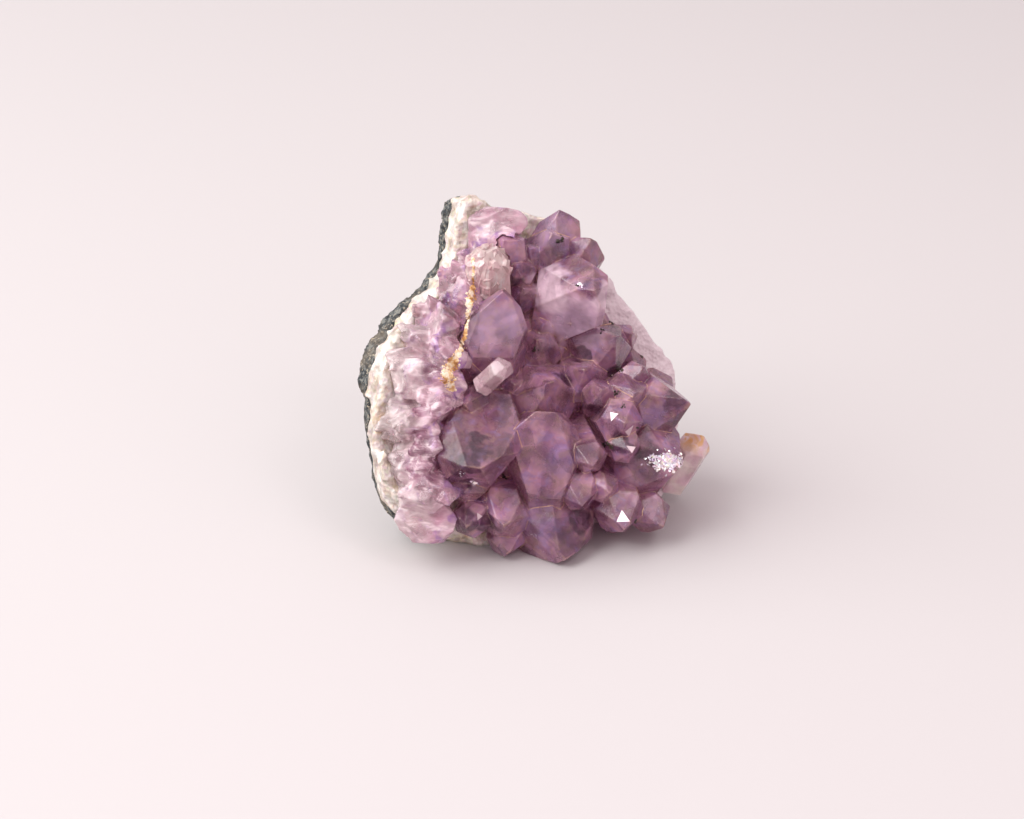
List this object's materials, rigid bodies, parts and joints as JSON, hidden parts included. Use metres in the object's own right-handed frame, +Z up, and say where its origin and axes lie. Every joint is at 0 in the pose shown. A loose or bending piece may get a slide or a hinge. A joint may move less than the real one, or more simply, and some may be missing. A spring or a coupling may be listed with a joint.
{
  "type": "amethyst cluster",
  "caption": "Broken piece of geode wall with amethyst points on a milky quartz band and a thin dark rock rind, leaning back on its flat broken edge.",
  "frame": {"origin": "middle of the bounding box, on the surface the piece rests on", "axes": "+Z up, the crystal face towards -Y and leaning back, the broken columns on the -X side"},
  "size_m": [0.0708, 0.0548, 0.0629],
  "materials": {
    "rock_rind": "rough, fine-grained dark basalt with a blue-green skin",
    "quartz_band": "sugary milky quartz, broken",
    "amethyst_points": "clear to cloudy purple quartz with natural faces",
    "flank_columns": "pale lilac quartz, broken and cloudy",
    "broken_stub": "cloudy pinkish quartz, broken",
    "stray_prism": "clear pale quartz",
    "side_crystal": "pale quartz stained by iron"
  },
  "bodies": {
    "root": {"rock_rind": "rock_rind", "quartz_band": "quartz_band", "amethyst_points": "amethyst_points", "flank_columns": "flank_columns", "broken_stub": "broken_stub", "stray_prism": "stray_prism", "side_crystal": "side_crystal"}
  },
  "joints": []
}
